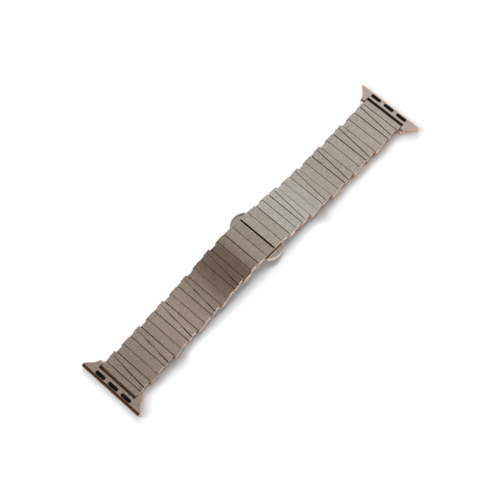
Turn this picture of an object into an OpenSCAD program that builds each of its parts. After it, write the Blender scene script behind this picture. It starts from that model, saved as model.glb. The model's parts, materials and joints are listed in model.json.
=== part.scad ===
// Metal watch bracelet of slanted bars, laid out flat over its closed clasp.
// +X runs along the band, +Y across it, +Z up from the table it lies on.
// The origin is on the table, under the middle of the whole band.
// Each half starts at the clasp: a cover, groups of four bars, an end link and a lug.

/* [Bars] */
// Width of every bar, side to side
bar_w = 20; // [18:0.5:22]
// Thickness of every bar
bar_t = 2.8; // [2.8:0.1:3.4]
// Length of a group of four bars, from hinge to hinge
group_len = 14.55; // [14.4:0.05:17]
// Share of that length in the first straight bar
bar_a_share = 0.299; // [0.28:0.001:0.31]
// Share of that length in the second straight bar
bar_b_share = 0.292; // [0.28:0.001:0.3]
// Share of that length in the wedge bar in front of the slanted gap
bar_c_share = 0.213; // [0.2:0.001:0.22]
// How far the slanted gap leans along the band, from side to side
slant = 1.6; // [1:0.1:1.8]
// Gap between the tops of neighbouring bars
top_gap = 0.2; // [0.16:0.01:0.3]
// Gap in front of a wedge bar and between the two
wide_gap = 0.32; // [0.16:0.01:0.4]
// Side step of the bars that stand out from their neighbours
stagger = 0.45; // [0:0.05:0.6]
// Chamfer on the upright corners of a bar
bar_corner = 0.35; // [0.1:0.05:0.6]
// Groups of four bars in each half
groups = 5; // [3:1:6]

/* [Bar hinges] */
// Height of the hinge pins above the underside of the bars
axis_h = 1.25; // [1.2:0.05:1.3]
// Outer radius of the knuckles
knuckle_r = 1; // [0.9:0.05:1]
// Radius of the pins in the bars
bar_pin_r = 0.45; // [0.35:0.05:0.5]
// Width of the middle knuckle
tongue_w = 8; // [6:0.5:10]
// Side play of the middle knuckle between the ears
tongue_play = 0.15; // [0.1:0.05:0.3]
// How far the pin ends lie inside the sides of a bar
pin_sink = 0.3; // [0.1:0.1:0.6]

/* [Fits] */
// Radial clearance of a pin that is pressed in
press_play = 0.01; // [0.01:0.005:0.02]
// Radial clearance of a pin that turns
run_play = 0.05; // [0.02:0.01:0.08]
// Clearance round a knuckle
knuckle_play = 0.1; // [0.08:0.01:0.15]

/* [Lugs] */
// Width of the rail that slides into the watch case
rail_w = 32.4; // [30:0.2:34]
// Thickness of the lug
lug_t = 3; // [2.9:0.1:3.4]
// Distance from the end of the rail to the lug pin
rail_reach = 5.9; // [5.7:0.1:6.5]
// Width over the two ears that hold the end link
fork_w = 24; // [23.4:0.2:26]
// Side play of the end link between the ears
fork_play = 0.25; // [0.15:0.05:0.4]
// Length of the solid rail, from its end to the recess
rail_depth = 4; // [3.8:0.1:4.2]
// Length of the straight tip at each end of the rail
tip_len = 1.3; // [1:0.1:1.8]
// Radius of the bend between an ear and the slope that runs out to the rail
ear_bend = 5; // [4:0.5:6]
// Radius of the lug pin
lug_pin_r = 0.5; // [0.4:0.05:0.55]
// Distance from the lug pin to the first bar hinge
end_link_len = 2.1; // [2.1:0.05:3]
// Distance from the lug pin to the end of an end link
end_reach = 1.3; // [1.2:0.05:1.3]
// Radius of an end link's top edge beside the lug
end_round = 1.2; // [0.6:0.1:1.2]
// Length of an oval pocket in the rail
pocket_l = 5.4; // [4.5:0.1:6]
// Width of an oval pocket in the rail
pocket_w = 1.7; // [1.4:0.1:2]
// Depth of an oval pocket
pocket_depth = 2.2; // [1.8:0.1:2.3]
// Distance between the middles of neighbouring pockets
pocket_pitch = 7.3; // [6.5:0.1:8.5]
// Distance from the end of the rail to the middle of the pockets
pocket_inset = 2.05; // [1.9:0.05:2.4]
// How far the outer pads lie under the face of the rail
pad_sink = 0.2; // [0.1:0.05:0.4]
// Side clearance of the pads and the catch in their pockets
pad_play = 0.1; // [0.05:0.01:0.15]
// Height of the sprung catch in the middle pocket
catch_h = 1.1; // [0.9:0.1:1.2]
// Outer radius of the coil under the catch
catch_coil_r = 0.6; // [0.45:0.05:0.65]

/* [Clasp] */
// Radius of the underside of the base plate
base_r = 38; // [34:1:45]
// Thickness of the base plate
base_t = 1.2; // [1:0.1:1.4]
// How far the sides of the base plate lie inside the sides of the bars
base_inset = 0.6; // [0:0.1:0.6]
// Distance from the middle of the clasp to a blade hinge
blade_reach = 17.6; // [16.5:0.1:18.5]
// Thickness of a blade
blade_t = 1.2; // [1:0.1:1.3]
// Width of each ear at the ends of the base plate
base_ear_w = 2.75; // [2.4:0.05:3.4]
// Gap between the base plate and a closed blade
blade_gap = 0.25; // [0.15:0.05:0.4]
// Outer radius of the knuckles at the ends of the base
blade_knuckle_r = 1.35; // [1.2:0.05:1.5]
// Radius of the pins at the ends of the base
blade_pin_r = 0.6; // [0.5:0.05:0.7]
// Distance from the middle of the clasp to a cover pin
cover_pin_x = 2.6; // [2.5:0.05:2.9]
// Outer radius of the knuckles round a cover pin
cover_knuckle_r = 0.85; // [0.75:0.05:0.9]
// Radius of the cover pins
cover_pin_r = 0.4; // [0.35:0.05:0.45]
// Width of each cover ear and its clearance, counted in from the side of a blade
cover_ear_zone = 1.8; // [1.6:0.1:2.2]
// Width of each ear under a cover
cover_ear_w = 1.3; // [1:0.1:1.5]
// Height of the cover pins above the top of the base plate
cover_pin_h = 1.03; // [1:0.01:1.1]
// Length of a cover, from the middle of the clasp to its hinge
cover_len = 9.8; // [9.4:0.1:10.6]
// Thickness of a cover over the lock
cover_t = 1.8; // [1.6:0.1:2]
// Gap between the lock and the covers over it
cover_gap = 0.25; // [0.2:0.05:0.35]
// Angle by which each cover falls away from the middle
cover_fall = 3; // [2:0.5:3]
// Gap between the two covers
centre_gap = 0.75; // [0.3:0.05:0.8]
// Width and depth of the scored line across a cover
score = 0.18; // [0.1:0.02:0.3]
// Tilt of the clasp as the band lies, down towards +X
clasp_tilt = 6; // [4:0.5:7]

/* [Lock] */
// Width of the lock's bridge, along the band
bridge_l = 2.9; // [2.5:0.1:3]
// Length of the lock's cheeks, along the band
cheek_l = 10; // [8:0.5:10]
// Thickness of a cheek
cheek_t = 0.85; // [0.7:0.05:1]
// Side gap between a blade and a cheek
cheek_gap = 0.25; // [0.2:0.05:0.4]
// Radius of a push button's rod
rod_r = 0.5; // [0.4:0.05:0.55]
// Travel of a push button
push_travel = 0.9; // [0.6:0.1:1.2]
// How far a push button stands out past the bars
button_proud = 3; // [1.8:0.1:3]
// Radius of the rounded edge of a push button
button_r = 7; // [6:0.5:9]
// Length of a push button, along the band
button_l = 10; // [8:0.5:10]
// Thickness of a push button
button_t = 1.5; // [1.2:0.1:1.6]
// Height of the rim round a push button's dish
button_rim = 0.35; // [0.2:0.05:0.5]
// Thickness of the wall between the two button springs
spring_wall = 1.2; // [0.8:0.1:2]
// Length of a button spring at rest
button_spring_l = 2.8; // [2.4:0.1:3.4]
// Thickness of the wire in all the coils
wire = 0.15; // [0.1:0.05:0.2]
// Gap at each end of a coil
coil_seat = 0.02; // [0.01:0.01:0.05]

/* [Hidden] */
$fn = 48;
bars = 4 * groups;

// Kinds of bar, in order along +X within a group
A = 0;
B = 1;
C = 2;
D = 3;
right_order = [A, B, C, D];
left_order = [B, A, D, C];
bar_d_share = 1 - bar_a_share - bar_b_share - bar_c_share;
lengths = group_len * [bar_a_share, bar_b_share, bar_c_share, bar_d_share];
// Side step of each kind, and how much of the slant its two edges take
steps = [-stagger, stagger / 2, 0, stagger];
lean_in = [0, 0, 0, 1];
lean_out = [0, 0, 1, 0];
gap_in = [top_gap, top_gap, wide_gap, wide_gap];
gap_out = [top_gap, wide_gap, wide_gap, top_gap];

// How steeply the band falls away from the clasp as it lies, in degrees,
// at some distances along each half
right_falls = [[12, 14], [16, 16.5], [20, 17], [25, 14], [30, 11], [34, 7], [38, 4], [42, 1], [46, 0]];
left_falls = [[12, 3.5], [16, 8], [20, 11], [25, 13], [30, 13], [35, 11], [42, 8], [52, 5.5], [66, 4], [77, 2.5], [83, 0]];

// Bar hinges
plate_under = knuckle_r + knuckle_play;
slot_w = tongue_w + 2 * tongue_play;
far = 60;

// Heights in the clasp's own frame, whose z = 0 is the centre line's lowest level
base_w = bar_w - 2 * base_inset;
blade_w = base_w - 2 * base_ear_w - 2 * cheek_gap;
cover_knuckle_w = blade_w - 2 * cover_ear_zone;
arc_drop = sqrt(base_r * base_r - blade_reach * blade_reach);
base_top_r = base_r + base_t;
blade_in_r = base_top_r + blade_gap;
blade_out_r = blade_in_r + blade_t;
hinge_r = (base_top_r + blade_in_r) / 2;
blade_axis_z = sqrt(hinge_r * hinge_r - blade_reach * blade_reach) - arc_drop;
base_top = base_top_r - arc_drop;
cover_axis_z = base_top + cover_pin_h;
lock_top = cover_axis_z + cover_knuckle_r;
cover_top = lock_top + cover_gap + cover_t;
rod_z = (base_top + lock_top) / 2;

// The tilted clasp rests on the knuckles at its +X end
clasp_lift = blade_knuckle_r + blade_reach * sin(clasp_tilt) - blade_axis_z * cos(clasp_tilt);

// A half is worked out in its own plane: u runs outwards, z up.
// Its side is 1 for the +X half and -1 for the -X half.
function kind(side, i) = side > 0 ? right_order[(i - 1) % 4] : left_order[(i - 1) % 4];
function bar_len(side, i) = lengths[kind(side, i)];
function bar_start(side, i) = i == 1 ? cover_len : bar_start(side, i - 1) + bar_len(side, i - 1);
function drawn_fall(side, i) =
    lookup(bar_start(side, i) + bar_len(side, i) / 2, side > 0 ? right_falls : left_falls);
function turned(u, z, a) = [u * cos(a) + z * sin(a), z * cos(a) - u * sin(a)];

// Where the cover of a half ends, in its half's plane
function cover_slope(side) = cover_fall + side * clasp_tilt;
function cover_root(side) = turned(0, cover_top, side * clasp_tilt) + [0, clasp_lift];
function cover_hinge(side) =
    cover_root(side) + turned(cover_len, axis_h - bar_t, cover_slope(side));

// One factor on all falls of a half lands its last bar flat on the table
function landing_drop(side, k) =
    sum_of([for (i = [1 : bars]) bar_len(side, i) * sin(k * drawn_fall(side, i))]);
function sum_of(list, i = 0) = i == len(list) ? 0 : list[i] + sum_of(list, i + 1);
function landed(side, k, rounds) =
    rounds == 0 ? k
    : landed(side, k * (cover_hinge(side)[1] - axis_h) / landing_drop(side, k), rounds - 1);
landing_rounds = 6;
right_factor = landed(1, 1, landing_rounds);
left_factor = landed(-1, 1, landing_rounds);
function fall(side, i) =
    i > bars ? 0 : drawn_fall(side, i) * (side > 0 ? right_factor : left_factor);

// Hinge points of a half, from the cover's hinge to the lug pin
function link_len(side, i) = i > bars ? end_link_len : bar_len(side, i);
function hinges(side) = [
    for (i = 1, p = cover_hinge(side); i <= bars + 2;
         p = i > bars + 1 ? p : p + turned(link_len(side, i), 0, fall(side, i)), i = i + 1) p
];
right_hinges = hinges(1);
left_hinges = hinges(-1);
shift_x = (left_hinges[bars + 1][0] - right_hinges[bars + 1][0]) / 2;
function hinge(side, i) = side > 0 ? right_hinges[i - 1] : left_hinges[i - 1];

// Lug shape, from the lug pin outwards
nose_r = lug_t / 2;
rail_end = rail_reach;
recess_end = rail_end - rail_depth;
lug_mid = nose_r - axis_h;
pocket_x = rail_end - pocket_inset;
lug_face = lug_t - axis_h;
pocket_floor = lug_face - pocket_depth;
end_link_w = bar_w;
fork_gap_w = end_link_w + 2 * fork_play;

// Lock
cheek_in = blade_w / 2 + cheek_gap;
cheek_out = cheek_in + cheek_t;
button_in = cheek_out + push_travel + knuckle_play;
button_out = bar_w / 2 + button_proud;
rod_in = spring_wall / 2 + button_spring_l;
button_z = lock_top - cover_gap - button_t;

metal = "#b9aa9a";
polished = "#cdb8a6";
steel = "#a9a9a6";
black = "#1c1b1a";

function two(i) = str(i < 10 ? "0" : "", i);
function bar_name(side, i) = str(side > 0 ? "right_link_" : "left_link_", two(i));

// A round pin or hole across the band, from y0 to y1
module across(r, y0, y1) {
    translate([0, y1, 0]) rotate([90, 0, 0]) cylinder(r = r, h = y1 - y0);
}

// A plain block between two corners
module block(low, high) {
    translate(low) cube(high - low);
}

// The same block at both sides of the band, from y0 out to y1
module both_sides(x0, x1, y0, y1, z0, z1) {
    block([x0, y0, z0], [x1, y1, z1]);
    block([x0, -y1, z0], [x1, -y0, z1]);
}

// Moves a shape from the frame of a link to its place in the band.
// The link's own x runs along +X from its hinge on the -X side, z from its hinge axis.
module in_band(side, i) {
    start = side > 0 ? hinge(side, i) : hinge(side, i + 1);
    translate([shift_x + side * start[0], 0, start[1]])
        rotate([0, side * fall(side, i), 0]) children();
}

// Moves a shape from the clasp's own frame to its place in the band
module in_clasp() {
    translate([shift_x, 0, clasp_lift]) rotate([0, clasp_tilt, 0]) children();
}

// Ears on the -X side of a link, between two sides at y0 and y1, with the pin hole
module ears(y0, y1) {
    difference() {
        union() {
            across(knuckle_r, y0, y1);
            block([0, y0, -knuckle_r], [plate_under + knuckle_play, y1, knuckle_r]);
        }
        block([-far, -slot_w / 2, -far], [far, slot_w / 2, far]);
    }
}

// Middle knuckle on the +X side of a link of this length
module tongue(length) {
    translate([length, 0, 0]) {
        across(knuckle_r, -tongue_w / 2, tongue_w / 2);
        block([-plate_under - knuckle_play, -tongue_w / 2, -knuckle_r], [0, tongue_w / 2, knuckle_r]);
    }
}

// Room for a neighbour's tongue on the -X side of a link, under its top plate
module room_for_tongue() {
    block([-far, -slot_w / 2, -far], [plate_under, slot_w / 2, plate_under]);
}

// Room for a neighbour's ears on the +X side of a link of this length
module room_for_ears(length) {
    both_sides(length - plate_under, far, tongue_w / 2, far, -far, plate_under);
}

// The valleys under a link's own knuckles, which let the band bend
module valleys(length) {
    block([-far, -far, -far], [plate_under, far, -knuckle_r]);
    block([length - plate_under, -far, -far], [far, far, -knuckle_r]);
}

// Outline of a bar's top, seen from above
module bar_outline(k) {
    function edge(y, leans) = leans * slant * y / bar_w;
    low = steps[k] - bar_w / 2;
    high = steps[k] + bar_w / 2;
    c = bar_corner;
    from = gap_in[k] / 2;
    to = lengths[k] - gap_out[k] / 2;
    polygon([
        [from + edge(low, lean_in[k]) + c, low],
        [to + edge(low, lean_out[k]) - c, low],
        [to + edge(low, lean_out[k]), low + c],
        [to + edge(high, lean_out[k]), high - c],
        [to + edge(high, lean_out[k]) - c, high],
        [from + edge(high, lean_in[k]) + c, high],
        [from + edge(high, lean_in[k]), high - c],
        [from + edge(low, lean_in[k]), low + c],
    ]);
}

// One bar of the band with the pin in its ears
module bar(side, i) {
    k = kind(side, i);
    length = lengths[k];
    y0 = steps[k] - bar_w / 2;
    y1 = steps[k] + bar_w / 2;
    in_band(side, i) {
        color(metal) difference() {
            union() {
                difference() {
                    translate([0, 0, -axis_h]) linear_extrude(bar_t) bar_outline(k);
                    room_for_tongue();
                    room_for_ears(length);
                    valleys(length);
                }
                ears(y0, y1);
                tongue(length);
            }
            across(bar_pin_r + press_play, y0 - 1, y1 + 1);
            translate([length, 0, 0]) across(bar_pin_r + run_play, -tongue_w, tongue_w);
        }
        color(steel) across(bar_pin_r, y0 + pin_sink, y1 - pin_sink);
    }
}

// Block of an end link from x0 to x1, its top edge rounded at one end
module end_block(x0, x1, round_end) {
    c = end_round;
    corner_x = round_end > 0 ? x1 : x0;
    middle_x = corner_x - round_end * c;
    top = bar_t - axis_h;
    difference() {
        translate([0, 0, -axis_h]) block([x0, -end_link_w / 2, 0], [x1, end_link_w / 2, bar_t]);
        difference() {
            block([min(middle_x, corner_x + round_end), -far, top - c],
                  [max(middle_x, corner_x + round_end), far, top + 1]);
            translate([middle_x, 0, top - c]) across(c, -2 * far, 2 * far);
        }
    }
}

// End link of the -X half: the lug pin at its -X side, a tongue at its +X side
module left_end_link() {
    length = end_link_len;
    in_band(-1, bars + 1) color(metal) difference() {
        union() {
            difference() {
                end_block(-end_reach, length - top_gap / 2, -1);
                room_for_ears(length);
                block([length - plate_under, -far, -far], [far, far, -knuckle_r]);
            }
            tongue(length);
        }
        across(lug_pin_r + run_play, -far, far);
        translate([length, 0, 0]) across(bar_pin_r + run_play, -tongue_w, tongue_w);
    }
}

// End link of the +X half: ears at its -X side, the lug pin at its +X side
module right_end_link() {
    length = end_link_len;
    in_band(1, bars + 1) {
        color(metal) difference() {
            union() {
                difference() {
                    end_block(top_gap / 2, length + end_reach, 1);
                    room_for_tongue();
                    block([-far, -far, -far], [plate_under, far, -knuckle_r]);
                }
                ears(-end_link_w / 2, end_link_w / 2);
            }
            across(bar_pin_r + press_play, -far, far);
            translate([length, 0, 0]) across(lug_pin_r + run_play, -far, far);
        }
        color(steel) across(bar_pin_r, pin_sink - end_link_w / 2, end_link_w / 2 - pin_sink);
    }
}

// Moves a shape from a lug's own frame to its place: x runs outwards from the lug pin
module in_lug(side) {
    pin = hinge(side, bars + 2);
    translate([shift_x + side * pin[0], 0, pin[1]]) rotate([0, 0, side > 0 ? 0 : 180]) children();
}

// Plan of a lug: a wide rail that slopes in at 45 degrees and bends into the two ears
module lug_plan() {
    tip_x = rail_end - tip_len;
    corner_x = tip_x - (rail_w - fork_w) / 2;
    bend_len = ear_bend * tan(22.5);
    bend_rise = bend_len * sin(45);
    difference() {
        translate([-nose_r, -rail_w / 2]) square([rail_end + nose_r, rail_w]);
        for (s = [-1, 1]) {
            translate([corner_x - bend_len, s * (fork_w / 2 + ear_bend)]) circle(r = ear_bend, $fn = 96);
            polygon([
                [-far, s * fork_w / 2],
                [corner_x - bend_len, s * fork_w / 2],
                [corner_x + bend_rise, s * (fork_w / 2 + bend_rise)],
                [tip_x + 1, s * (rail_w / 2 + 1)],
                [-far, s * (rail_w / 2 + 1)],
            ]);
        }
        translate([-far, -fork_gap_w / 2]) square([far + recess_end, fork_gap_w]);
    }
}

// Side profile of a lug, as wide as the band: round at the nose and at the ears
module lug_profile() {
    translate([0, rail_w / 2, 0]) rotate([90, 0, 0]) linear_extrude(rail_w) {
        translate([0, lug_mid - nose_r]) square([rail_end - nose_r, lug_t]);
        translate([0, lug_mid]) circle(r = nose_r);
        translate([rail_end - nose_r, lug_mid]) circle(r = nose_r);
    }
}

// A flat oval across the band, from z0 to z1
module oval(length, width, z0, z1) {
    run = (length - width) / 2;
    translate([0, 0, z0]) linear_extrude(z1 - z0) {
        square([width, 2 * run], center = true);
        for (s = [-1, 1]) translate([0, s * run]) circle(r = width / 2, $fn = 32);
    }
}

// A slide-in lug with its three pockets, and the pin through its ears
module lug(side) {
    in_lug(side) {
        color(metal) difference() {
            intersection() {
                translate([0, 0, lug_mid - nose_r]) linear_extrude(lug_t) lug_plan();
                lug_profile();
            }
            for (n = [-1, 0, 1]) translate([pocket_x, n * pocket_pitch, 0])
                oval(pocket_l, pocket_w, pocket_floor, far);
            across(lug_pin_r + press_play, -far, far);
        }
        color(steel) across(lug_pin_r, pin_sink - fork_w / 2, fork_w / 2 - pin_sink);
    }
}

// The two fixed pads in the outer pockets of a lug
module lug_pads(side) {
    color(black) in_lug(side) for (n = [-1, 1]) translate([pocket_x, n * pocket_pitch, 0])
        oval(pocket_l - 2 * pad_play, pocket_w - 2 * pad_play, pocket_floor, lug_face - pad_sink);
}

// The sprung catch in the middle pocket, which snaps into the watch case
module lug_catch(side) {
    top = lug_face - pad_sink / 2;
    color(black) in_lug(side) translate([pocket_x, 0, 0])
        oval(pocket_l - 2 * pad_play, pocket_w - 2 * pad_play, top - catch_h, top);
}

// The coil under the catch, as a plain sleeve
module catch_spring(side) {
    floor_z = pocket_floor + coil_seat;
    top = lug_face - pad_sink / 2 - catch_h - coil_seat;
    color(steel) in_lug(side) translate([pocket_x, 0, floor_z]) difference() {
        cylinder(r = catch_coil_r, h = top - floor_z);
        translate([0, 0, -far]) cylinder(r = catch_coil_r - wire, h = 2 * far);
    }
}

// A curved plate round the clasp's middle, between two radii and two x, this wide
module arc_plate(r_in, r_out, x0, x1, width) {
    translate([0, width / 2, 0]) rotate([90, 0, 0]) linear_extrude(width) intersection() {
        translate([0, -arc_drop]) difference() {
            circle(r = r_out, $fn = 180);
            circle(r = r_in, $fn = 180);
        }
        translate([x0, -far / 2]) square([x1 - x0, far]);
    }
}

// Base plate of the clasp, with two ears at each end
module clasp_base() {
    blade_slot = blade_w + 2 * cheek_gap;
    room = blade_knuckle_r + 0.2;
    color(polished) in_clasp() difference() {
        union() {
            arc_plate(base_r, base_top_r, 0.5 - blade_reach, blade_reach - 0.5, base_w);
            for (s = [-1, 1]) translate([s * blade_reach, 0, blade_axis_z])
                across(blade_knuckle_r, -base_w / 2, base_w / 2);
        }
        for (s = [-1, 1]) translate([s * blade_reach, 0, blade_axis_z]) {
            block([-room, -blade_slot / 2, -far / 2], [room, blade_slot / 2, far / 2]);
            across(blade_pin_r + press_play, -far, far);
        }
    }
}

// The two pins at the ends of the base plate
module clasp_pins() {
    color(steel) in_clasp() for (s = [-1, 1]) translate([s * blade_reach, 0, blade_axis_z])
        across(blade_pin_r, pin_sink - base_w / 2, base_w / 2 - pin_sink);
}

// A blade: a curved plate between the knuckle on the base pin and the one on the cover pin
module blade(side) {
    ear_room = cover_knuckle_r + knuckle_play;
    ear_zone = cover_knuckle_w / 2;
    color(polished) in_clasp() mirror([side > 0 ? 0 : 1, 0, 0]) difference() {
        union() {
            arc_plate(blade_in_r, blade_out_r, cover_pin_x, blade_reach, blade_w);
            translate([blade_reach, 0, blade_axis_z])
                across(blade_knuckle_r, -blade_w / 2, blade_w / 2);
            translate([cover_pin_x, 0, cover_axis_z])
                across(cover_knuckle_r, -cover_knuckle_w / 2, cover_knuckle_w / 2);
        }
        both_sides(-far, cover_pin_x + ear_room, ear_zone, far, -far, far);
        translate([blade_reach, 0, blade_axis_z]) across(blade_pin_r + run_play, -far, far);
        translate([cover_pin_x, 0, cover_axis_z]) across(cover_pin_r + run_play, -far, far);
    }
}

// Moves a shape into the frame of a cover: x runs outwards, z = 0 is its top face
module in_cover(side) {
    translate([0, 0, cover_top]) mirror([side > 0 ? 0 : 1, 0, 0]) rotate([0, cover_fall, 0])
        children();
}

// The plate of a cover, with a scored line across its top
module cover_plate() {
    deep = bar_t - axis_h + knuckle_r;
    difference() {
        union() {
            block([centre_gap / 2, -bar_w / 2, -cover_t], [cover_len - top_gap / 2, bar_w / 2, 0]);
            block([cover_len - knuckle_r - 0.6, -bar_w / 2, -deep], [cover_len - top_gap / 2, bar_w / 2, 0]);
        }
        translate([cover_len / 2, 0, 0]) rotate([0, 45, 0])
            block([-score / 2, -far, -score / 2], [score / 2, far, score / 2]);
    }
}

// The two ears under a cover, round its pin
module cover_ears() {
    y0 = cover_knuckle_w / 2 + tongue_play;
    y1 = y0 + cover_ear_w;
    for (s = [-1, 1]) translate([cover_pin_x, s * (y0 + y1) / 2, 0]) {
        translate([0, 0, cover_axis_z]) across(cover_knuckle_r, -cover_ear_w / 2, cover_ear_w / 2);
        block([-cover_knuckle_r, -cover_ear_w / 2, cover_axis_z],
            [cover_knuckle_r, cover_ear_w / 2, cover_top - cover_t / 2]);
    }
}

// A cover with its own pin; the -X one has ears at its outer end, the +X one a tongue
module cover(side) {
    ear_y = cover_knuckle_w / 2 + tongue_play + cover_ear_w;
    hinge_z = axis_h - bar_t;
    in_clasp() {
        color(metal) difference() {
            union() {
                in_cover(side) difference() {
                    cover_plate();
                    translate([cover_len, 0, hinge_z]) {
                        if (side > 0) both_sides(-plate_under, far, tongue_w / 2, far, -far, plate_under);
                        else mirror([1, 0, 0]) room_for_tongue();
                    }
                }
                in_cover(side) translate([cover_len, 0, hinge_z]) {
                    if (side > 0) tongue(0);
                    else mirror([1, 0, 0]) ears(-bar_w / 2, bar_w / 2);
                }
                mirror([side > 0 ? 0 : 1, 0, 0]) cover_ears();
            }
            in_cover(side) translate([cover_len, 0, hinge_z])
                across(bar_pin_r + (side > 0 ? run_play : press_play), -far, far);
            translate([side * cover_pin_x, 0, cover_axis_z]) across(cover_pin_r + press_play, -far, far);
        }
        color(steel) {
            translate([side * cover_pin_x, 0, cover_axis_z]) across(cover_pin_r, -ear_y, ear_y);
            if (side < 0) in_cover(side) translate([cover_len, 0, hinge_z])
                across(bar_pin_r, pin_sink - bar_w / 2, bar_w / 2 - pin_sink);
        }
    }
}

// The lock between the blades: a bridge with a rod hole, and a cheek at each side
module lock_housing() {
    color(polished) in_clasp() difference() {
        union() {
            block([-bridge_l / 2, -cheek_out, 0], [bridge_l / 2, cheek_out, lock_top]);
            both_sides(-cheek_l / 2, cheek_l / 2, cheek_in, cheek_out, 0, button_z + button_t);
        }
        translate([0, 0, -arc_drop]) rotate([90, 0, 0])
            cylinder(r = base_top_r, h = 2 * far, center = true, $fn = 180);
        for (s = [0, 180]) rotate([0, 0, s]) translate([0, 0, rod_z])
            across(rod_r + run_play, spring_wall / 2, far);
    }
}

// Plan of a push button, seen from above, on the +Y side
module button_plan(inset, y0) {
    intersection() {
        translate([0, button_out - button_r]) circle(r = button_r - inset, $fn = 96);
        translate([-button_l / 2 + inset, y0]) square([button_l - 2 * inset, far]);
    }
}

// A push button and its rod; side 1 is at +Y, side -1 at -Y
module push_button(side) {
    dish_z = button_z + button_t;
    rim_y = bar_w / 2 + push_travel + knuckle_play;
    color(polished) in_clasp() mirror([0, side > 0 ? 0 : 1, 0]) {
        difference() {
            union() {
                translate([0, 0, button_z]) linear_extrude(button_t) button_plan(0, button_in);
                translate([0, 0, dish_z]) linear_extrude(button_rim) button_plan(0, rim_y);
            }
            translate([0, 0, dish_z - button_rim]) linear_extrude(far) button_plan(0.5, rim_y - 0.2);
        }
        translate([0, 0, rod_z]) across(rod_r, rod_in, button_in + 0.5);
    }
}

// The two coils that push the buttons out, as plain sleeves
module push_button_springs() {
    y0 = spring_wall / 2 + coil_seat;
    y1 = rod_in - coil_seat;
    color(steel) in_clasp() for (s = [0, 180]) rotate([0, 0, s]) translate([0, 0, rod_z])
        difference() {
            across(rod_r, y0, y1);
            across(rod_r - wire, 0, far);
        }
}

for (side = [-1, 1]) for (i = [1 : bars]) {
    bar(side, i);
}
left_end_link();
right_end_link();
cover(-1);  // left_cover
cover(1);  // right_cover
blade(-1);  // left_blade
blade(1);  // right_blade
lug(-1);  // left_lug
lug(1);  // right_lug
lug_pads(-1);  // left_lug_pads
lug_pads(1);  // right_lug_pads
lug_catch(-1);  // left_lug_catch
lug_catch(1);  // right_lug_catch
catch_spring(-1);  // left_catch_spring
catch_spring(1);  // right_catch_spring
clasp_base();
clasp_pins();
lock_housing();
push_button(-1);  // front_push_button
push_button(1);  // rear_push_button
push_button_springs();
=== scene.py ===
# %% [markdown]
# # A metal watch bracelet, dressed for its photograph
#
# The bracelet is a chain of narrow metal bars on pins. It lies flat on a white table, over its
# own closed clasp, so its middle stands a little above its ends. The engineering model already
# holds every bar, pin and hinge at its true place, and this script never moves or resizes them.
# What is added here is what a photograph shows and a technical model leaves out: softened edges,
# brushed and polished metal, wound springs, light and a camera.

import json
import math
import random

import bmesh
import bpy
from mathutils import Matrix, Vector

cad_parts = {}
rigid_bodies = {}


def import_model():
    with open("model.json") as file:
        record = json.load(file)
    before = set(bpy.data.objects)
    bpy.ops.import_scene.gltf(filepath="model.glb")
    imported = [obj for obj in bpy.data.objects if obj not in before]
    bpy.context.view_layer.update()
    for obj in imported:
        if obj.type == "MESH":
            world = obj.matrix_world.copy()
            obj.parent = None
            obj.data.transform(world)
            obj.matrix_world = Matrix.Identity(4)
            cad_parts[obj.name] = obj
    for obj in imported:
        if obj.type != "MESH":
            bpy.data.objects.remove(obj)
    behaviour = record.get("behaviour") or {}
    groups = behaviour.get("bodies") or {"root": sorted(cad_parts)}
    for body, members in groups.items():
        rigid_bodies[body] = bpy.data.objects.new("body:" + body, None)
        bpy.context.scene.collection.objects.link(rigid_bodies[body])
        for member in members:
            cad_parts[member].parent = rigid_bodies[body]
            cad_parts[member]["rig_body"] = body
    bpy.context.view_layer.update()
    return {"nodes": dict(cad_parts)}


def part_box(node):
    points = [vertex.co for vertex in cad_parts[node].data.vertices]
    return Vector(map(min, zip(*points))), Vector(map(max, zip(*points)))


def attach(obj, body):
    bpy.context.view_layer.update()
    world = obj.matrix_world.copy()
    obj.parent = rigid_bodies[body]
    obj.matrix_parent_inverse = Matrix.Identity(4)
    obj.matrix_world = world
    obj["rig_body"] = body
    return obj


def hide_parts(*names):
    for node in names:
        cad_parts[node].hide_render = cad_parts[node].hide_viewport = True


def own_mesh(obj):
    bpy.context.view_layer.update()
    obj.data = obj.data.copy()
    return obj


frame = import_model()
mm = 0.001

# %% [markdown]
# ## The camera
#
# A camera could be placed by eye, but then its view would be a guess. The gaps between the bars
# are a ruler laid across the picture, and they give the view: from the left and the front, well
# above the table, through a fairly long lens.
# The distance, angles and lens below are that view, and the camera looks at a point by the clasp.

# %% Place the camera
view_turn = math.radians(-47.7)
view_height = math.radians(67.0)
view_distance = 623 * mm
view_centre = Vector((-3.8, 0.26, 0)) * mm

camera_data = bpy.data.cameras.new("camera")
camera_data.sensor_width = 36
camera_data.lens = 104.6
camera_data.clip_start = 10 * mm
camera = bpy.data.objects.new("camera", camera_data)
bpy.context.collection.objects.link(camera)
back = Vector((
    math.sin(view_turn) * math.cos(view_height),
    -math.cos(view_turn) * math.cos(view_height),
    math.sin(view_height),
))
camera.location = view_centre + back * view_distance
camera.rotation_euler = (-back).to_track_quat("-Z", "Y").to_euler()
bpy.context.scene.camera = camera
print("camera at", [round(c / mm) for c in camera.location], "mm")

# %% [markdown]
# ## Brushed and polished metal
#
# The tops of the bars are brushed along the band: fine scratches, all in one direction, with
# small paler and darker flecks between them. A flat colour would look like painted card, and
# modelling the scratches would take millions of faces. So a noise pattern is stretched until it
# is a bundle of long thin lines, and a second noise, hardly stretched, adds the flecks. Both
# shift the colour. The lines also shift the roughness and make a very small bump.
# The patterns are measured on Object coordinates, which here are metres on the whole bracelet,
# so they have the same true size on every part. A number called tone, kept on the faces of a
# piece, makes a whole face a little lighter or darker than its metal.

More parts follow.
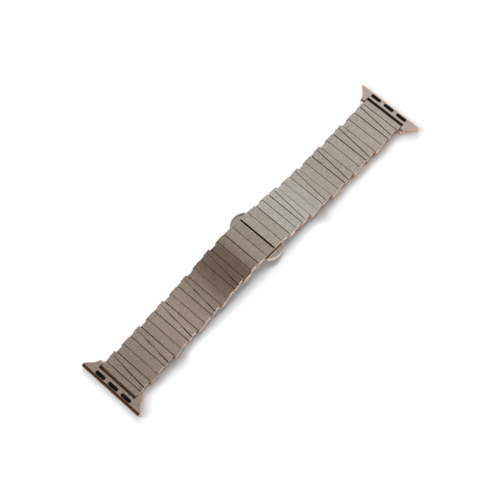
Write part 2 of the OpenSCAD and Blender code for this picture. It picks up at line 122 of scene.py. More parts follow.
# %% Start a material
def new_material(name):
    """A material with nodes, its shader, and two functions that add and join nodes."""
    material = bpy.data.materials.new(name)
    material.use_nodes = True
    tree = material.node_tree

    def add(kind, inputs={}, **settings):
        node = tree.nodes.new(kind)
        for key, value in settings.items():
            setattr(node, key, value)
        for key, value in inputs.items():
            if isinstance(value, bpy.types.NodeSocket):
                tree.links.new(value, node.inputs[key])
            else:
                node.inputs[key].default_value = value
        return node

    return material, tree.nodes["Principled BSDF"], add, tree.links.new


# %% Give the most used nodes a short name
def noise(add, place, rate, **details):
    """A noise pattern with this many waves for each millimetre along x, y and z."""
    at = add("ShaderNodeMapping", {"Vector": place, "Scale": [r / mm for r in rate]})
    pattern = add("ShaderNodeTexNoise", {"Vector": at.outputs[0], "Scale": 1.0, **details})
    return pattern.outputs["Fac"]


def calculate(add, operation, *values):
    """One number worked out from others."""
    return add("ShaderNodeMath", dict(enumerate(values)), operation=operation).outputs[0]


def remap(add, value, old, new=(0.0, 1.0)):
    """Turns a value that runs over the old range into one that runs over the new range."""
    return add("ShaderNodeMapRange", {"Value": value, "From Min": old[0], "From Max": old[1],
                                      "To Min": new[0], "To Max": new[1]}).outputs[0]


def mix(add, amount, first, second):
    """A colour that runs from the first to the second. Sockets 6, 7 and 2 are for colours."""
    return add("ShaderNodeMix", {0: amount, 6: first, 7: second}, data_type="RGBA").outputs[2]


# %% Colour a metal by its pattern
fleck_rate = (2.0, 3.4, 2.0)
pattern_range = (0.72, 1.28)
side_zone = (9.75 * mm, 9.85 * mm)


def metal_colour(add, place, lines, colour, tint, side_colour):
    """The colour, shifted by lines, flecks and tone, and changed at the sides of the band."""
    flecks = noise(add, place, fleck_rate, Detail=2.0)
    strength = remap(add, calculate(add, "ADD", lines, flecks), pattern_range)
    darker = [c * (1 - tint) for c in colour] + [1]
    lighter = [min(1, c * (1 + tint)) for c in colour] + [1]
    hue = mix(add, strength, darker, lighter)
    tone = add("ShaderNodeAttribute", attribute_name="tone").outputs["Fac"]
    shade = calculate(add, "ADD", tone, 1.0)
    shaded = add("ShaderNodeVectorMath", {0: hue, "Scale": shade}, operation="SCALE").outputs[0]
    if not side_colour:
        return shaded
    across = add("ShaderNodeSeparateXYZ", {0: place}).outputs["Y"]
    beside = remap(add, calculate(add, "ABSOLUTE", across), side_zone)
    return mix(add, beside, shaded, (*side_colour, 1))


# %% Make a metal
line_raggedness = 0.75
cloud_rate = (0.22, 0.22, 0.22)
roughness_swing = 0.25


def metal(name, colour, roughness, rate, line_depth, tint=0.05, anisotropy=0.0, side_colour=None):
    """Metal with lines at this rate along x, y and z, and their depth in millimetres."""
    material, shader, add, join = new_material(name)
    place = add("ShaderNodeTexCoord").outputs["Object"]
    lines = noise(add, place, rate, Detail=4.0, Roughness=line_raggedness)
    cloud = noise(add, place, cloud_rate, Detail=2.0)
    join(metal_colour(add, place, lines, colour, tint, side_colour), shader.inputs["Base Color"])
    uneven = calculate(add, "MULTIPLY", calculate(add, "ADD", lines, cloud), 0.5)
    rough = [roughness * (1 - roughness_swing), roughness * (1 + roughness_swing)]
    join(remap(add, uneven, (0.0, 1.0), rough), shader.inputs["Roughness"])
    bump = add("ShaderNodeBump", {"Height": lines, "Distance": line_depth * mm, "Strength": 1.0})
    join(bump.outputs[0], shader.inputs["Normal"])
    shader.inputs["Metallic"].default_value = 1.0
    if anisotropy:
        shader.inputs["Anisotropic"].default_value = anisotropy
        across = add("ShaderNodeCombineXYZ", {"Y": 1.0}).outputs[0]
        turned = add("ShaderNodeVectorTransform", {"Vector": across},
                     vector_type="VECTOR", convert_from="OBJECT", convert_to="WORLD")
        join(turned.outputs[0], shader.inputs["Tangent"])
    return material


# %% [markdown]
# ## The finishes of the bracelet
#
# One recipe makes all the metals, and only its numbers differ. The tops are a champagne colour.
# The polished sides are a warmer rose. The walls that face a gap are dull and painted dark, a
# painted shade between the bars. Their outermost fifth of a millimetre has the colour of the
# sides, where that painted shade stops. Each metal is given a colour, a roughness, the rate of
# its lines along x, y and z, and their depth.

# %% Mix the metals
rose = (0.90, 0.64, 0.49)
brushed = metal("brushed_champagne", (0.62, 0.53, 0.455), 0.30, (0.3, 5.0, 0.3), 0.001,
                tint=0.38, anisotropy=0.5)
dish_satin = metal("satin_dish", (0.55, 0.51, 0.43), 0.34, (0.1, 3.5, 0.1), 0.0008)
lug_satin = metal("satin_rose", (0.68, 0.56, 0.50), 0.34, (0.1, 3.5, 0.1), 0.0006,
                  anisotropy=0.3)
sides = metal("polished_rose_sides", rose, 0.20, (2, 2, 2), 0.0005)
# The dark colour of the gap walls is painted shade. The same metal stands for the shade in the
# lug's pockets and on the lock housing.
painted_shade_wall = metal("dull_painted_shade_walls", (0.10, 0.08, 0.065), 0.50, (3, 3, 3), 0.001,
                 tint=0.2, side_colour=rose)
# A dull, dark metal as painted shade for the strip of a push button beside the cover.
shaded_wall = metal("dull_painted_shade_under_the_cover", (0.16, 0.125, 0.10), 0.50, (3, 3, 3), 0.001,
                    tint=0.2)
recess_wall = metal("shaded_rose_walls", (0.34, 0.24, 0.18), 0.40, (3, 3, 3), 0.001, tint=0.1)
polished = metal("polished_champagne", (0.70, 0.60, 0.52), 0.16, (1.2, 1.2, 1.2), 0.0005)
pin_steel = metal("turned_pin_steel", (0.60, 0.58, 0.56), 0.25, (0.3, 14, 0.3), 0.001)
wire_steel = metal("drawn_spring_wire", (0.56, 0.55, 0.54), 0.28, (6, 6, 6), 0.0006)
metals = (brushed, dish_satin, lug_satin, sides, painted_shade_wall, shaded_wall, recess_wall, polished,
          pin_steel, wire_steel)
print("metals:", [m.name for m in metals])

# %% [markdown]
# ## Black plastic
#
# The oval pads in the lug are moulded in black plastic. Moulded plastic is never quite even: it
# has a fine grain from the mould, and it is a little shinier where a case has rubbed it. A fine
# noise gives the grain as a bump, and a slow one shifts the roughness.

# %% Mix the plastic
grain_rate = (9, 9, 9)
rub_rate = (0.8, 0.8, 0.8)
grain_depth = 0.004 * mm

plastic, plastic_shader, add, join = new_material("moulded_black")
place = add("ShaderNodeTexCoord").outputs["Object"]
grain = noise(add, place, grain_rate, Detail=3.0)
rub = noise(add, place, rub_rate)
black = mix(add, grain, (0.003, 0.003, 0.003, 1), (0.006, 0.006, 0.006, 1))
join(black, plastic_shader.inputs["Base Color"])
join(remap(add, rub, (0.0, 1.0), (0.34, 0.52)), plastic_shader.inputs["Roughness"])
grain_bump = add("ShaderNodeBump", {"Height": grain, "Distance": grain_depth, "Strength": 1.0})
join(grain_bump.outputs[0], plastic_shader.inputs["Normal"])
plastic_shader.inputs["Specular IOR Level"].default_value = 0.08
print("plastic:", plastic.name)

# %% [markdown]
# ## Welding a copy of an engineering part
#
# An engineering part arrives as loose triangles. Its flat faces have to be whole again before
# an edge can be rounded, because a round edge needs a face on each side of it. So a copy is
# welded, and every flat face is joined up. The work is done in millimetres, because rounding
# tools lose their footing on lengths of a tenth of a thousandth of a metre. One part can hold
# several solids, such as a bar and its pin, and they are told apart by walking over the faces.

# %% Weld a copy and find its separate solids
weld_distance = 0.0008
flat_within = math.radians(0.6)


def welded_copy(node_name):
    """A copy of a CAD node in millimetres, with its flat faces joined up."""
    bm = bmesh.new()
    bm.from_mesh(frame["nodes"][node_name].data)
    bmesh.ops.scale(bm, vec=(1 / mm, 1 / mm, 1 / mm), verts=bm.verts)
    bmesh.ops.remove_doubles(bm, verts=bm.verts, dist=weld_distance)
    bmesh.ops.dissolve_limit(bm, angle_limit=flat_within, use_dissolve_boundaries=False,
                             verts=bm.verts, edges=bm.edges)
    bm.normal_update()
    return bm


sample = welded_copy("left_lug")
print("left lug:", len(frame["nodes"]["left_lug"].data.polygons), "triangles, welded into",
      len(sample.faces), "faces")


# %% Find the separate solids of a part
def islands(bm):
    """The separate solids of a mesh, each as a set of faces."""
    left = set(bm.faces)
    found = []
    while left:
        island = set()
        edge_of_search = [left.pop()]
        while edge_of_search:
            face = edge_of_search.pop()
            island.add(face)
            for edge in face.edges:
                for other in edge.link_faces:
                    if other in left:
                        left.remove(other)
                        edge_of_search.append(other)
        found.append(island)
    return found


print("left lug:", len(islands(sample)), "solids, its body and its pin")
sample.free()


# %% Measure boxes in millimetres
thickest_pin = 1.2


def node_box(node_name):
    """The lowest and highest corner of a CAD node."""
    return [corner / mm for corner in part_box(node_name)]


def box_of(faces):
    """The lowest and highest corner of some faces of a mesh in millimetres."""
    corners = [v.co for f in faces for v in f.verts]
    return [Vector([pick(c[axis] for c in corners) for axis in range(3)]) for pick in (min, max)]


def is_pin(island):
    """A pin lies across the band, so it is short along it."""
    low, high = box_of(island)
    return high.x - low.x < thickest_pin


print("left lug is", round(node_box("left_lug")[1].y - node_box("left_lug")[0].y, 1), "mm wide")

# %% [markdown]
# ## Rounding and finishing
#
# A real edge is never sharp, and its small round is what catches the light. The bevel tool makes
# it. The tool's overlap limit shrinks every radius to suit the shortest edge of the mesh, so it
# can be switched off where a wider round is wanted and known to fit. A weighted normal then
# keeps the flat faces flat, and the piece is told which part it stands for.

# %% Round the crisp edges
crisp_from = math.radians(25)


def round_edges(bm, radius, steps, chosen, clamp=True):
    """Rounds the chosen edges and returns the new faces."""
    result = bmesh.ops.bevel(bm, geom=chosen, offset=radius, offset_type="OFFSET",
                             segments=steps, profile=0.5, affect="EDGES", material=-1,
                             clamp_overlap=clamp)
    return result["faces"]


def crisp_edges(bm, least_length):
    """Straight outer edges that a file or a tumbling drum would round."""
    return [e for e in bm.edges if e.calc_length() > least_length and e.is_convex
            and e.calc_face_angle(0) > crisp_from]


# %% Make the finished piece
smooth_up_to = math.radians(40)


def finish_piece(bm, name, node_name, materials):
    """Turns a mesh in millimetres into a piece that rides where its CAD node does."""
    bmesh.ops.scale(bm, vec=(mm, mm, mm), verts=bm.verts)
    mesh = bpy.data.meshes.new(name)
    bm.to_mesh(mesh)
    bm.free()
    for material in materials:
        mesh.materials.append(material)
    mesh.shade_smooth()
    mesh.set_sharp_from_angle(angle=smooth_up_to)
    piece = bpy.data.objects.new(name, mesh)
    bpy.context.collection.objects.link(piece)
    weighted = piece.modifiers.new("flat_faces_stay_flat", "WEIGHTED_NORMAL")
    weighted.keep_sharp = True
    weighted.weight = 100
    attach(piece, frame["nodes"][node_name]["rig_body"])
    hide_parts(node_name)
    return piece


# %% [markdown]
# ## The bars: a finish for every face
#
# Each bar is a flat strip with softly rounded edges. The light catches those edges as a thin
# line next to each gap, and without them the band looks like a printed drawing.
# Five finishes meet on a bar. The top is brushed. The ends at the sides of the band are polished
# and look warmer. The rounds above those ends are polished in the colour of the clasp. The walls
# in the gaps are dull and painted dark, as painted shade between the bars. The pin keeps its own
# steel. The finish of a face follows from the way it points and from how deep it lies under the
# top.

# %% Measure how deep a face lies under the top of its piece
mostly_up = 0.8


def top_plane(faces):
    """The middle and direction of the widest face that points up."""
    top = max((f for f in faces if f.normal.z > mostly_up), key=lambda f: f.calc_area())
    return top.calc_center_median(), top.normal.copy()


def depth_under(plane, face):
    """How far a face's middle lies under that plane, in millimetres."""
    middle, direction = plane
    return (middle - face.calc_center_median()).dot(direction)


# %% Sort the faces of a bar by finish
on_top, on_side, in_gap, on_pin, on_corner = range(5)
bar_finishes = [brushed, sides, painted_shade_wall, pin_steel, polished]
gap_depth = 1.9
wall_leans_over = 0.85
faces_sideways = 0.7


def sort_bar_faces(bm):
    """Gives every face its finish, and returns the plane of the top."""
    for island in islands(bm):
        if is_pin(island):
            for face in island:
                face.material_index = on_pin
            continue
        plane = top_plane(island)
        for face in island:
            if abs(face.normal.y) > faces_sideways:
                face.material_index = on_side
            # Walls just under the top get the painted shade of the gaps.
            elif face.normal.z < wall_leans_over and depth_under(plane, face) < gap_depth:
                face.material_index = in_gap
    return plane


print("finishes of a bar:", [m.name for m in bar_finishes])

# %% [markdown]
# ## The bars: worn edges, painted light and uneven gaps
#
# The edges of a bar aren't all alike. The upright corners and the upper edges at the sides of
# the band rub on sleeves and skin, so they are rounded most, and in one go, so that they meet.
# The edges beside a gap are crisper. The bars come in groups of four, and the photograph shows
# some gaps of a group wide and dark and others as a hairline. So each of the four has its own
# radius and its own tone of painted shade on the gap walls, on either half. Every bar also
# differs a little in tone from its neighbours, by a dice that always rolls the same numbers. The
# rounds beside a gap that face -X take the painted shade of the gap walls, and those that face up
# are lighter, partly from wear and partly as a painted highlight.

# %% Find the edges that are rounded in a way of their own
square_from = math.radians(50)
runs_along = 0.9
corner_from_middle = 8.8
level_with_top = 0.97
on_top_within = 0.05


def way_of(edge):
    """The way an edge runs."""
    first, last = (v.co for v in edge.verts)
    return (last - first).normalized()


def is_upright_corner(edge):
    """One of the upright edges where a side of the band meets a gap."""
    from_middle = min(abs(v.co.y) for v in edge.verts)
    return abs(way_of(edge).z) > runs_along and from_middle > corner_from_middle


def top_outline(bm, plane):
    """The edges all round the top, but not the edges of a line scored across it."""
    outline = []
    for edge in bm.edges:
        if len(edge.link_faces) != 2 or not edge.is_convex:
            continue
        tops = [f for f in edge.link_faces if f.normal.dot(plane[1]) > level_with_top
                and abs(depth_under(plane, f)) < on_top_within]
        if len(tops) == 1 and edge.calc_face_angle(0) >= square_from:
            outline.append(edge)
    return outline


# %% Choose the rounding and the tone of each bar
corner_radius = 0.22
plain_top_radius = 0.09
other_radius = 0.10
top_radii = {"left": (0.05, 0.20, 0.08, 0.18), "right": (0.03, 0.06, 0.09, 0.03)}
# The tone of the painted shade on the gap walls, for each of the four bars of a group.
gap_shade_tones = {"left": (0.3, -0.2, 0.0, -0.2), "right": (1.6, 0.3, 0.0, 1.2)}
tone_spread = 0.035
# Up-facing rounds beside a gap are lighter, partly from wear and partly as a painted highlight.
wear_and_highlight_tone = 0.10
cover_tone = -0.09
tone_dice = random.Random(7)


def gap_style(node_name):
    """The radius of the edges beside a gap and the tone of the painted shade on its walls."""
    if not node_name[-2:].isdigit():
        return plain_top_radius, 0.0
    side = node_name.split("_")[0]
    place = (int(node_name[-2:]) - 1) % 4
    return top_radii[side][place], gap_shade_tones[side][place]


print("third bar of the left half:", gap_style("left_link_03"))

# %% Give the faces of a bar their tone
lug_side_from = 84.0


def tone_faces(bm, node_name, shade, gap_shade):
    """Keeps a tone on each face. An end link is finished as a top where it faces its lug."""
    tone = bm.faces.layers.float.new("tone")
    for face in bm.faces:
        is_wall = face.material_index == in_gap
        # Walls in a gap take the tone of their painted shade.
        face[tone] = gap_shade if is_wall else shade
        by_the_lug = abs(face.calc_center_median().x) > lug_side_from
        if "end_link" in node_name and is_wall and by_the_lug:
            face.material_index = on_top
    return tone


# %% Round the edges of a bar
least_bar_edge = 0.4
turned_up = 0.2
turned_left = -0.2
half_up = 0.5


def round_bar(bm, plane):
    """Rounds the lower edges, and then the corners with the upper edges at the sides."""
    around_top = top_outline(bm, plane)
    side_tops = [e for e in around_top if abs(way_of(e).x) > runs_along]
    others = [e for e in crisp_edges(bm, least_bar_edge) if e not in around_top
              and not is_upright_corner(e) and e.calc_face_angle(0) > square_from]
    round_edges(bm, other_radius, 2, others)
    corners = [e for e in crisp_edges(bm, least_bar_edge) if is_upright_corner(e)]
    corners += [e for e in side_tops if e.is_valid]
    for face in round_edges(bm, corner_radius, 3, corners, clamp=False):
        face.material_index = on_corner if face.normal.z > turned_up else on_side


def round_gap_edges(bm, plane, radius, tone, shade, gap_shade):
    """Rounds the edges beside the gaps: painted shade where they face -X; lighter where they face
    up, from wear and a painted highlight.
    """
    for face in round_edges(bm, radius, 3, top_outline(bm, plane), clamp=False):
        # Rounds facing -X get the painted shade of the gap walls; rounds facing up get the
        # lighter tone of wear and painted highlight.
        if face.normal.x < turned_left:
            face.material_index = in_gap
            face[tone] = gap_shade
        elif face.normal.z > half_up:
            face.material_index = on_top
            face[tone] = shade + wear_and_highlight_tone


# %% Dress the bars, end links and covers
def dress_bar(node_name):
    bm = welded_copy(node_name)
    plane = sort_bar_faces(bm)
    radius, gap_shade = gap_style(node_name)
    shade = tone_dice.uniform(-tone_spread, tone_spread)
    shade += cover_tone * node_name.endswith("cover")
    tone = tone_faces(bm, node_name, shade, gap_shade)
    round_bar(bm, plane)
    round_gap_edges(bm, plane, radius, tone, shade, gap_shade)
    return finish_piece(bm, "brushed_" + node_name, node_name, bar_finishes)


bar_names = [n for n in sorted(frame["nodes"]) if "link" in n or n.endswith("cover")]
for node_name in bar_names:
    dress_bar(node_name)
print("bars dressed:", len(bar_names))

# %% [markdown]
# ## The lugs
#
# A lug is one milled piece: a rail with a full round along its outer end, which slides into a
# watch case, and two ears that hold the end link. Its top is satin and a little pinker than the
# bars; the round and the sloping flanks are polished, so they mirror the dark side of the room.
# The walls of the recess that the end link turns in are darker, as little light gets down there.
# Three oval pockets are cut into its face. Their insides are painted dark as shade, with the gap
# walls' metal, and their mouths have a small chamfer, which shows as a thin light ring.

# %% Choose the finish of a face of a lug
in_recess, in_pocket = 2, 4
lug_finishes = [lug_satin, sides, recess_wall, pin_steel, painted_shade_wall]
faces_up = 0.96
leans_up = 0.3
lug_top_from = 2.3
round_reach = 3.0
pocket_reach = 1.0
pocket_row_reach = 10.2
pocket_heights = (0.3, 2.9)
recess_from = 3.9
recess_reach = 10.3
steeper_than = 0.8


def lug_finish(face, outer_x, pocket_x):
    """The finish of a face, from the way it points and its place, in millimetres."""
    middle = face.calc_center_median()
    from_end = abs(middle.x - outer_x)
    up = face.normal.z
    if middle.z > lug_top_from and (up > faces_up or from_end > round_reach and up > leans_up):
        return on_top
    # The pockets get the painted shade of the gap walls.
    if (abs(middle.x - pocket_x) < pocket_reach and abs(middle.y) < pocket_row_reach
            and pocket_heights[0] < middle.z < pocket_heights[1]):
        return in_pocket
    if from_end > recess_from and abs(middle.y) < recess_reach and abs(up) < steeper_than:
        return in_recess
    return on_top if up < -faces_up else on_side


print("finishes of a lug:", [m.name for m in lug_finishes])

# %% Dress the two lugs
lug_edge = 0.06
least_lug_edge = 0.12
long_lug_edge = 0.4


def dress_lug(side_name):
    node_name = side_name + "_lug"
    low, high = node_box(node_name)
    outer_x = low.x if side_name == "left" else high.x
    pads_low, pads_high = node_box(node_name + "_pads")
    pocket_x = (pads_low.x + pads_high.x) / 2
    bm = welded_copy(node_name)
    for island in islands(bm):
        pin = is_pin(island)
        for face in island:
            face.material_index = on_pin if pin else lug_finish(face, outer_x, pocket_x)
    outline = [e for e in crisp_edges(bm, least_lug_edge) if e.calc_length() > long_lug_edge
               or len({f.material_index for f in e.link_faces}) > 1]
    for face in round_edges(bm, lug_edge, 3, outline, clamp=False):
        face.material_index = on_top
    return finish_piece(bm, "satin_" + node_name, node_name, lug_finishes)


for side_name in ("left", "right"):
    lug = dress_lug(side_name)
    print(lug.name, "faces:", len(lug.data.polygons))

# %% [markdown]
# ## The pads and the catch
#
# Each oval is a separate black moulding, set a little below the metal. Close up it has a rounded
# rim and, inside that, a shallow panel. The panel is one inset of the top face, and a second,
# narrow inset pushed down a few hundredths of a millimetre makes its edge.

# %% Dress the pads and the catches
points_up = 0.9
flat_and_up = 0.99
least_top_area = 2
rim_radius = 0.12
panel_inset = 0.26
panel_step = 0.06


def dress_pad(node_name):
    bm = welded_copy(node_name)
    rims = list({e for f in bm.faces if f.normal.z > points_up for e in f.edges})
    round_edges(bm, rim_radius, 3, rims, clamp=False)
    tops = [f for f in bm.faces if f.normal.z > flat_and_up and f.calc_area() > least_top_area]
    bmesh.ops.inset_region(bm, faces=tops, thickness=panel_inset, depth=0, use_even_offset=True)
    bmesh.ops.inset_region(bm, faces=tops, thickness=panel_step, depth=-panel_step,
                           use_even_offset=True)
    return finish_piece(bm, "moulded_" + node_name, node_name, [plastic])


for node_name in ("left_lug_pads", "right_lug_pads", "left_lug_catch", "right_lug_catch"):
    pad = dress_pad(node_name)
    print(pad.name, "faces:", len(pad.data.polygons))

# %% [markdown]
# ## The clasp
#
# The base plate and the two blades are polished all over. A polished sheet is never knife-edged:
# after stamping it is tumbled and buffed, which rounds its edges by about a fifth of a
# millimetre. Rounding the crisp edges and leaving the curved faces alone gives that. The lock
# housing is hidden under the covers, so it is painted dark with the same painted shade as the gap
# walls. The pins only get a small chamfer at their ends, as they have from the lathe.

# %% Dress the clasp's parts
clasp_parts = (
    ("clasp_base", 0.18, 0.5, polished, "polished_metal"),
    ("left_blade", 0.15, 0.5, polished, "polished_metal"),
    ("right_blade", 0.15, 0.5, polished, "polished_metal"),
    # The hidden lock housing is painted dark as shade.
    ("lock_housing", 0.12, 0.5, painted_shade_wall, "polished_metal"),
    ("clasp_pins", 0.08, 0.05, pin_steel, "pin_steel"),
)
for node_name, radius, least_length, finish, slot in clasp_parts:
    bm = welded_copy(node_name)
    round_edges(bm, radius, 3, crisp_edges(bm, least_length))
    part = finish_piece(bm, "buffed_" + node_name, node_name, [finish])
    print(part.name, "faces:", len(part.data.polygons))

# %% [markdown]
# ## The push buttons
#
# A push button is pressed by a fingertip at the side of the band. Its tab is polished, with a
# rounded edge and a shallow dish that keeps the finger from slipping. The dish is satin and runs
# up to its rim in a hollow curve, so the rim stands out as a light line. The inner corner is
# rounded like an outer one: rounding an edge that points inwards fills it. The strip of the tab
# beside the cover lies in its shade, so the top is cut in two there with a plane and the inner
# strip is painted dull and dark as that shade.

# %% Sort the faces of a push button by finish
in_dish, by_the_cover = 1, 2
button_finishes = [polished, dish_satin, shaded_wall]
shaded_from_middle = 10.32
least_strip_area = 1


def sort_button_faces(bm):
    """Marks the dish and the strip by the cover, and returns the dish's inner corners."""
    tops = [f for f in bm.faces if f.normal.z > points_up and f.calc_area() > least_top_area]
    dish = min(tops, key=lambda f: f.calc_center_median().z)
    inner_top = max(tops, key=lambda f: f.calc_area())
    hollow = [e for e in dish.edges if not e.is_convex]
    for face in {f for e in hollow for f in e.link_faces}:
        face.material_index = in_dish
    side = 1 if inner_top.calc_center_median().y > 0 else -1
    cut_around = [inner_top, *inner_top.edges, *inner_top.verts]
    bmesh.ops.bisect_plane(bm, geom=cut_around, plane_co=(0, side * shaded_from_middle, 0),
                           plane_no=(0, 1, 0))
    # The strip beside the cover gets a painted shade.
    for face in bm.faces:
        is_inside = abs(face.calc_center_median().y) < shaded_from_middle
        if face.normal.z > points_up and face.calc_area() > least_strip_area and is_inside:
            face.material_index = by_the_cover
    return hollow


print("finishes of a push button:", [m.name for m in button_finishes])

# %% Dress the push buttons
least_button_edge = 0.1
button_edge = 0.12
hollow_radius = 0.25


def dress_button(node_name):
    bm = welded_copy(node_name)
    hollow = sort_button_faces(bm)
    round_edges(bm, button_edge, 3, crisp_edges(bm, least_button_edge))
    hollow = [e for e in hollow if e.is_valid]
    for face in round_edges(bm, hollow_radius, 5, hollow, clamp=False):
        face.material_index = in_dish
    print("hollow edges:", len(hollow))
    return finish_piece(bm, "buffed_" + node_name, node_name, button_finishes)


for node_name in ("front_push_button", "rear_push_button"):
    button = dress_button(node_name)
    print(button.name, "faces:", len(button.data.polygons))

# %% [markdown]
# ## The coils
#
# Under each lug catch and behind each push button sits a coil of thin wire. The engineering model
# has a plain sleeve there. A coil is easy to wind: one small circle is spun round an axis and
# moved along it a little at each step. Real coils are wound flat at both ends, so that they stand
# straight, and the wire here does the same: a flat turn, the open turns, and a flat turn.

# %% Wind a coil
wire_faces = 8
steps_a_turn = 20
end_turns = 0.75


def wound_coil(outer_radius, thick, open_turns, height):
    """A closed wire round the z axis, from z = 0 up to its height, in millimetres."""
    bm = bmesh.new()
    bmesh.ops.create_circle(bm, cap_ends=False, segments=wire_faces, radius=thick / 2)
    bmesh.ops.rotate(bm, verts=bm.verts, cent=(0, 0, 0),
                     matrix=Matrix.Rotation(math.pi / 2, 3, "X"))
    bmesh.ops.translate(bm, verts=bm.verts, vec=(outer_radius - thick / 2, 0, thick / 2))
    ring = list(bm.edges)
    end_rise = end_turns * thick
    open_rise = height - thick - 2 * end_rise
    for turns, rise in ((end_turns, end_rise), (open_turns, open_rise), (end_turns, end_rise)):
        steps = round(turns * steps_a_turn)
        made = bmesh.ops.spin(bm, geom=ring, cent=(0, 0, 0), axis=(0, 0, 1),
                              dvec=(0, 0, rise / steps), angle=turns * math.tau, steps=steps,
                              use_merge=False)
        ring = [g for g in made["geom_last"] if isinstance(g, bmesh.types.BMEdge)]
    bmesh.ops.holes_fill(bm, edges=[e for e in bm.edges if e.is_boundary], sides=wire_faces)
    bmesh.ops.recalc_face_normals(bm, faces=bm.faces)
    return bm


def place_coil(bm, name, node_name, turn, place):
    """Turns a wound coil, moves it to its seat and finishes it."""
    bmesh.ops.rotate(bm, verts=bm.verts, cent=(0, 0, 0), matrix=turn)
    bmesh.ops.translate(bm, verts=bm.verts, vec=place)
    return finish_piece(bm, name, node_name, [wire_steel])


# %% Wind the coils under the catches
catch_wire = 0.12
catch_turns = 2.0

for side_name in ("left", "right"):
    node_name = side_name + "_catch_spring"
    low, high = node_box(node_name)
    seat = Vector(((low.x + high.x) / 2, (low.y + high.y) / 2, low.z))
    coil = wound_coil((high.x - low.x) / 2, catch_wire, catch_turns, high.z - low.z)
    coil = place_coil(coil, side_name + "_catch_coil", node_name, Matrix.Identity(3), seat)
    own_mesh(coil)
    print(coil.name, "height", round(high.z - low.z, 2), "mm")

# %% Wind the two coils behind the push buttons
button_wire = 0.15
button_turns = 9.5

sleeves = welded_copy("push_button_springs")
for island in islands(sleeves):
    low, high = box_of(island)
    rear = high.y > 0
    which = "rear" if rear else "front"
    seat = Vector(((low.x + high.x) / 2, low.y if rear else high.y, (low.z + high.z) / 2))
    turn = Matrix.Rotation(math.radians(-90 if rear else 90), 3, "X")
    coil = wound_coil((high.x - low.x) / 2, button_wire, button_turns, high.y - low.y)
    coil = place_coil(coil, which + "_button_coil", "push_button_springs", turn, seat)
    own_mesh(coil)
    print(coil.name, "length", round(high.y - low.y, 2), "mm")
sleeves.free()

# %% [markdown]
# ## The studio: a table, flags and a card
#
# Metal shows the room more than it shows itself, so the room is built for its reflections, as a
# photographer does. The table is plain white. Dark sheets, which photographers call flags, keep
# polished metal from turning white all over: a tall one stands on the left, one lies on the table
# past the left lug, and two small ones hang over the left half, each to darken a few bars. A
# pale card in front lights up the sides of the bars. Only the table is a real surface. The
# others show in reflections alone and throw no shadow.

# %% Make a sheet of the studio
def staged_sheet(name, corners, colour, only_in_reflections=True):
    """A plain matt sheet, from its four corners in millimetres."""
    sheet_bm = bmesh.new()
    sheet_bm.faces.new([sheet_bm.verts.new(Vector(c) * mm) for c in corners])
    sheet_mesh = bpy.data.meshes.new(name)
    sheet_bm.to_mesh(sheet_mesh)
    sheet_bm.free()
    sheet = bpy.data.objects.new(name, sheet_mesh)
    bpy.context.collection.objects.link(sheet)
    matt, matt_shader, _, _ = new_material(name + "_matt")
    matt_shader.inputs["Base Color"].default_value = (*colour, 1)
    matt_shader.inputs["Roughness"].default_value = 0.9
    matt_shader.inputs["Specular IOR Level"].default_value = 0.0
    sheet_mesh.materials.append(matt)
    if only_in_reflections:
        sheet.visible_camera = sheet.visible_diffuse = sheet.visible_shadow = False
        sheet.visible_transmission = sheet.visible_volume_scatter = False
    return sheet


def lying_corners(x0, x1, y0, y1, z):
    """The corners of a level sheet."""
    return [(x0, y0, z), (x1, y0, z), (x1, y1, z), (x0, y1, z)]


# %% Set up the table, the flags and the card
staged_sheet("white_table", lying_corners(-4000, 4000, -4000, 4000, 0), (0.775, 0.79, 0.81),
             only_in_reflections=False)
staged_sheet("side_flag", [(-300, -300, 0), (-300, 400, 0), (-300, 400, 430), (-300, -300, 430)],
             (0.04, 0.028, 0.02))
staged_sheet("small_flag", lying_corners(-36, -7.8, -12, 34, 38), (0.265, 0.22, 0.185))
staged_sheet("end_flag", lying_corners(-84, -65.5, -12, 46, 60), (0.40, 0.38, 0.35))
staged_sheet("front_card", [(-300, -260, 0), (300, -260, 0), (300, -260, 170), (-300, -260, 170)],
             (0.95, 0.93, 0.91))
staged_sheet("table_flag", lying_corners(-400, -89.7, -70, 70, 0.1), (0.13, 0.09, 0.07))

# %% [markdown]
# ## The studio: the light
#
# Four wide soft windows behind the band give the short shadow in front of it. They are suns,
# because a sun lights the whole table evenly. A ceiling panel fills the shadow, and a narrow
# pool of light lifts it in front of the clasp. None of these can be seen in the metal. What the
# bars mirror are three panels that light nothing else: two big cool ones past the right end,
# which the bars of the right half face as they slope down that way, and a small low one over the
# left half.

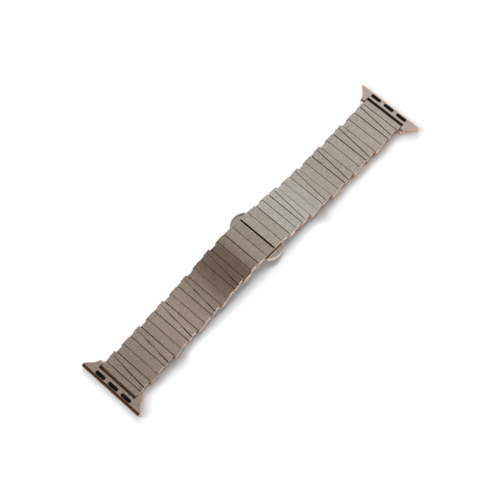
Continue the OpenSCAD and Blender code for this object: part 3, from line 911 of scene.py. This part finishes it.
# %% Hang the panels that the metal mirrors
def area_light(name, middle, size, glow, colour=(1, 1, 1)):
    """A soft panel that faces down; glow is how bright its face looks."""
    data = bpy.data.lights.new(name, "AREA")
    data.shape = "RECTANGLE"
    data.size, data.size_y = (s * mm for s in size)
    data.energy = glow * math.pi * data.size * data.size_y
    data.color = colour
    lamp = bpy.data.objects.new(name, data)
    bpy.context.collection.objects.link(lamp)
    lamp.location = Vector(middle) * mm
    lamp.visible_camera = False
    return lamp


for lamp in (
    area_light("cool_panel", (402, 100, 250), (596, 400), 0.243, (0.72, 0.87, 1.0)),
    area_light("far_panel", (470, 100, 251), (460, 400), 0.215, (0.53, 0.83, 1.0)),
    area_light("low_panel", (-48, 11, 38), (12, 46), 0.085, (1, 0.96, 0.94)),
):
    lamp.visible_diffuse = False
    print(lamp.name, "gives", round(lamp.data.energy * 1000, 2), "mW")

# %% Open the windows and light the ceiling and the pool
window_spread = math.radians(30)
pool_spread = math.radians(12)

for name, towards, energy in (
    ("back_left_window", (-0.36, 0.72, 0.57), 1.0),
    ("back_right_window", (0.36, 0.72, 0.57), 1.0),
    ("left_window", (-0.62, 0.50, 0.60), 1.15),
    ("right_window", (0.62, 0.50, 0.60), 1.0),
):
    sun = bpy.data.lights.new(name, "SUN")
    sun.energy = energy
    sun.angle = window_spread
    sun_lamp = bpy.data.objects.new(name, sun)
    bpy.context.collection.objects.link(sun_lamp)
    sun_lamp.rotation_euler = (-Vector(towards)).to_track_quat("-Z", "Y").to_euler()
    sun_lamp.visible_glossy = False

ceiling = area_light("ceiling", (0, 0, 700), (900, 900), 0.35)
pool = area_light("pool", (-15, -26.5, 45), (82, 30), 0.8)
pool.data.spread = pool_spread
ceiling.visible_glossy = pool.visible_glossy = False

# %% [markdown]
# ## The room around
#
# Whatever the metal doesn't mirror of the table, the flags and the panels, it mirrors of the
# room. A plain, slightly warm grey stands for it. The Standard view shows colours as they are,
# so they can be compared with those of the photograph.

# %% Fill the room and choose the view
room_colour = (1, 0.97, 0.94, 1)
room_strength = 0.46

world = bpy.data.worlds.new("studio_room")
bpy.context.scene.world = world
world.use_nodes = True
background = world.node_tree.nodes["Background"]
background.inputs["Color"].default_value = room_colour
background.inputs["Strength"].default_value = room_strength
bpy.context.scene.view_settings.view_transform = "Standard"
bpy.context.scene.view_settings.look = "None"
print("room:", world.name)
